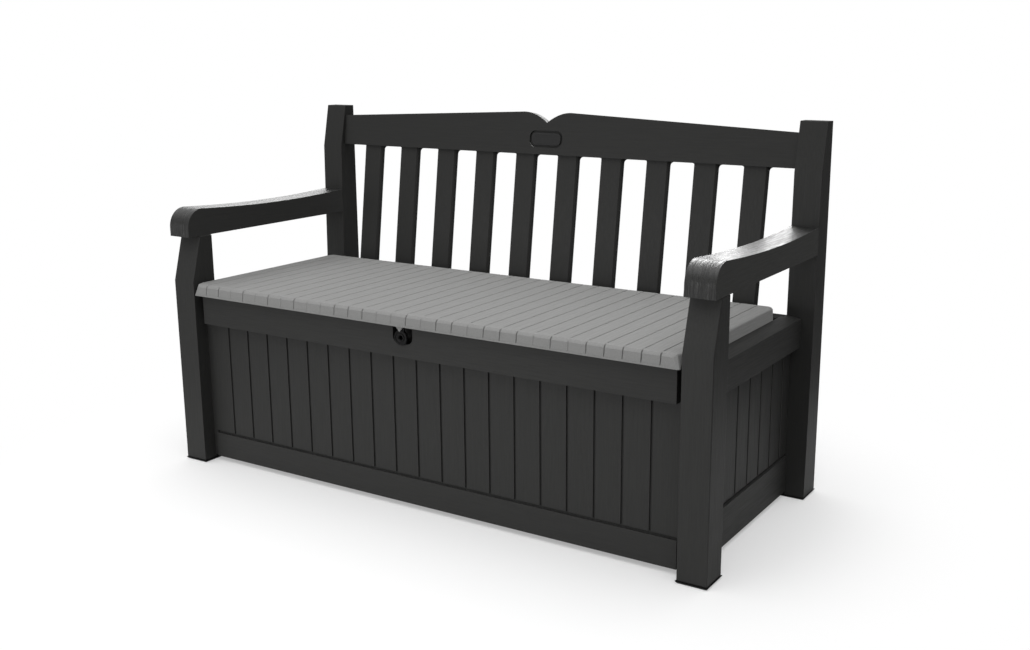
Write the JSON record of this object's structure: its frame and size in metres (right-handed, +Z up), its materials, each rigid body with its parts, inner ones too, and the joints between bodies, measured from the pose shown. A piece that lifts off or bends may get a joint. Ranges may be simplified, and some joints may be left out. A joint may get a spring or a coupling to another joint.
{
  "type": "outdoor storage bench",
  "caption": "Moulded plastic garden bench with armrests and a slatted back; its planked seat is a hinged lid over a storage chest.",
  "frame": {"origin": "centre of the footprint, on the floor", "axes": "+X to the right seen from the front, +Y to the back, +Z up"},
  "size_m": [1.405, 0.601, 0.84],
  "materials": {
    "frame_plastic": "dark anthracite moulded resin, matte, with a fine wood-grain texture",
    "lid_plastic": "warm mid-grey moulded resin, matte, with a fine wood-grain texture",
    "black_plastic": "black moulded resin, satin",
    "steel": "zinc-plated steel"
  },
  "bodies": {
    "bench": {"front_leg_left": "frame_plastic", "front_leg_right": "frame_plastic", "rear_post_left": "frame_plastic", "rear_post_right": "frame_plastic", "foot_cap_front_left": "black_plastic", "foot_cap_front_right": "black_plastic", "foot_cap_rear_left": "black_plastic", "foot_cap_rear_right": "black_plastic", "armrest_left": "frame_plastic", "armrest_right": "frame_plastic", "front_panel": "frame_plastic", "back_panel": "frame_plastic", "side_panel_left": "frame_plastic", "side_panel_right": "frame_plastic", "floor_panel": "frame_plastic", "hinge_rail": "frame_plastic", "backrest": "frame_plastic", "name_plate": "black_plastic", "lock_eye": "black_plastic", "hinge_pin_left": "steel", "hinge_pin_middle": "steel", "hinge_pin_right": "steel", "panel_screws": "steel", "armrest_screws": "steel", "rail_screws": "steel"},
    "lid": {"lid_shell": "lid_plastic", "lid_liner": "lid_plastic", "lid_bar_front": "steel", "lid_bar_rear": "steel", "lock_hasp": "black_plastic", "lid_screws": "steel", "hasp_screw": "steel"}
  },
  "joints": [
    {"name": "lid_hinge", "type": "hinge", "parent": "bench", "child": "lid", "pos_m": [0, 0.19, 0.425], "axis": [-1, 0, 0], "range_deg": [0, 97]}
  ]
}
